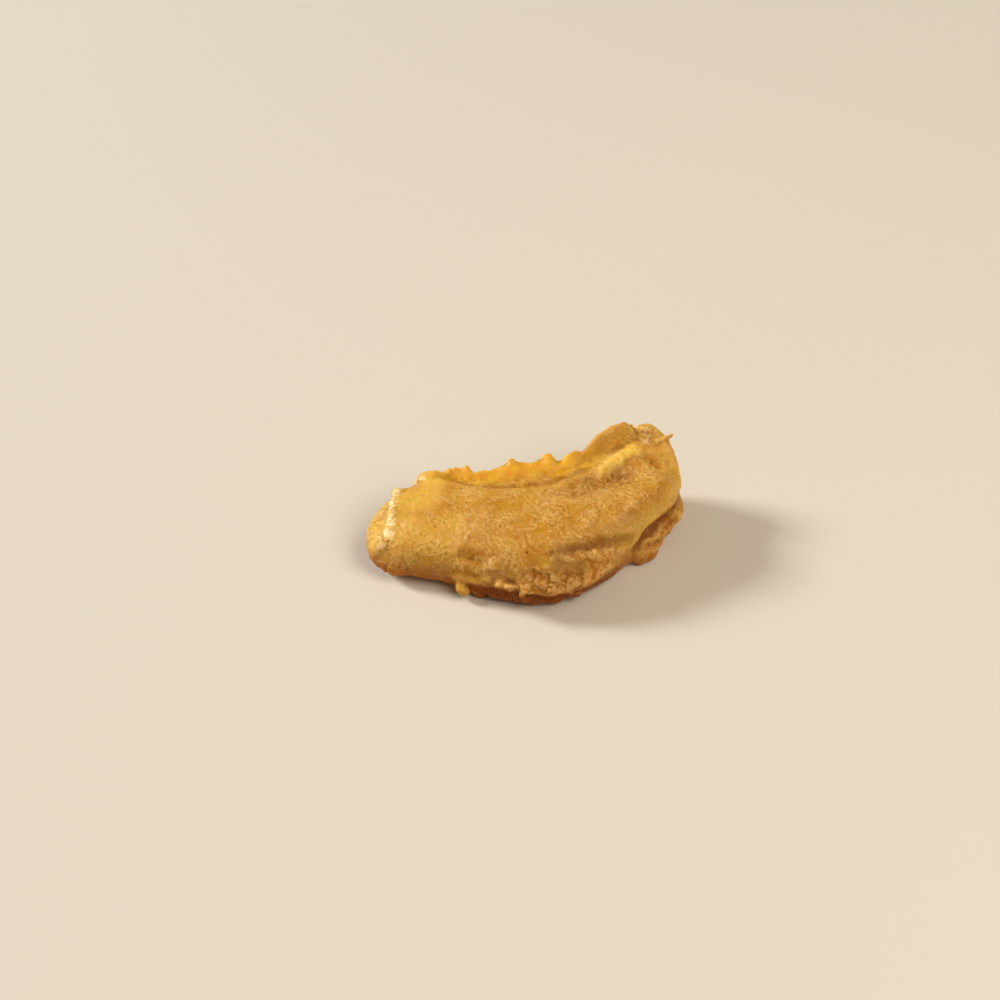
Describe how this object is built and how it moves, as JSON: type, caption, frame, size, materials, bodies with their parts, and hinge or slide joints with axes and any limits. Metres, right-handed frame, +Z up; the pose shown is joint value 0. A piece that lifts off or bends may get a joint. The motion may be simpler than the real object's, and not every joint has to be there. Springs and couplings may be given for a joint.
{
  "type": "fried fish fillet",
  "caption": "Battered and fried fish fillet: one curved golden piece, low and blunt at one end, with a thin ragged fin of batter along an edge and a lifted lobe at the other end.",
  "frame": {"origin": "middle of the bounding box, on the surface that the fillet rests on", "axes": "+X along the fillet from its low blunt end to its lifted lobe, -Y towards the edge with the swollen lip, +Z up"},
  "size_m": [0.1124, 0.0604, 0.0315],
  "materials": {
    "batter": "crisp, uneven golden crust with a light film of oil"
  },
  "bodies": {
    "root": {"fillet": "batter"}
  },
  "joints": []
}
